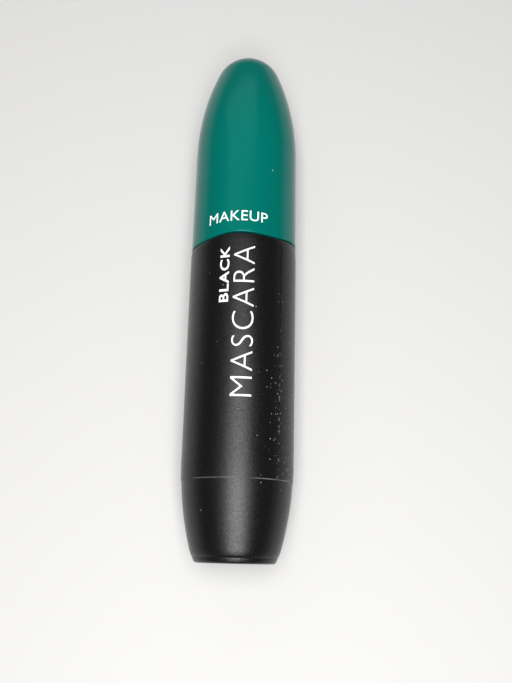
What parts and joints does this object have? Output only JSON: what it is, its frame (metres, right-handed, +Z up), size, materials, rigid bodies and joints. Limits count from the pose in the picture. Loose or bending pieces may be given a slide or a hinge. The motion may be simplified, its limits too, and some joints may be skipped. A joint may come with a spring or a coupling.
{
  "type": "mascara tube",
  "caption": "Slim round mascara tube lying on its side: satin black bottle with a tapered base, glossy green bullet cap that unscrews and draws out a wand with a bristle brush.",
  "frame": {"origin": "on the floor under the middle of the tube's length, the tube lying on its back", "axes": "+Y along the tube from the base to the tip of the cap, +Z up out of the printed front, +X to the right seen from above"},
  "size_m": [0.0242, 0.12, 0.0242],
  "materials": {
    "black_satin": "satin moulded plastic",
    "black_vial": "moulded, smooth",
    "wiper_white": "soft moulded plastic",
    "mascara_paste": "wet paste",
    "label_film": "thin satin black film",
    "paper_label": "printed paper",
    "seal_foam": "soft foam",
    "green_gloss": "glossy moulded plastic",
    "black_liner": "moulded, smooth",
    "steel_wire": "twisted wire",
    "black_bristle": "nylon fibres"
  },
  "bodies": {
    "bottle": {"outer_shell": "black_satin", "inner_vial": "black_vial", "wiper": "wiper_white", "mascara_fill": "mascara_paste", "wrap_label": "label_film", "base_label": "paper_label"},
    "seal": {"seal_ring": "seal_foam"},
    "cap_and_wand": {"cap_shell": "green_gloss", "cap_liner": "black_liner", "wand_rod": "black_liner", "brush_wire": "steel_wire", "bristles": "black_bristle"}
  },
  "joints": [
    {"name": "cap_lift", "type": "slide", "parent": "bottle", "child": "seal", "axis": [0, 1, 0], "range_m": [0, 0.08]},
    {"name": "cap_turn", "type": "hinge", "parent": "seal", "child": "cap_and_wand", "pos_m": [0, 0, 0.01208], "axis": [0, 1, 0], "range_deg": [0, 4800], "deforming": ["bristles"]}
  ],
  "couplings": [
    {"joint": "cap_turn", "follows": "cap_lift", "rad_per_m": 1047.2}
  ]
}
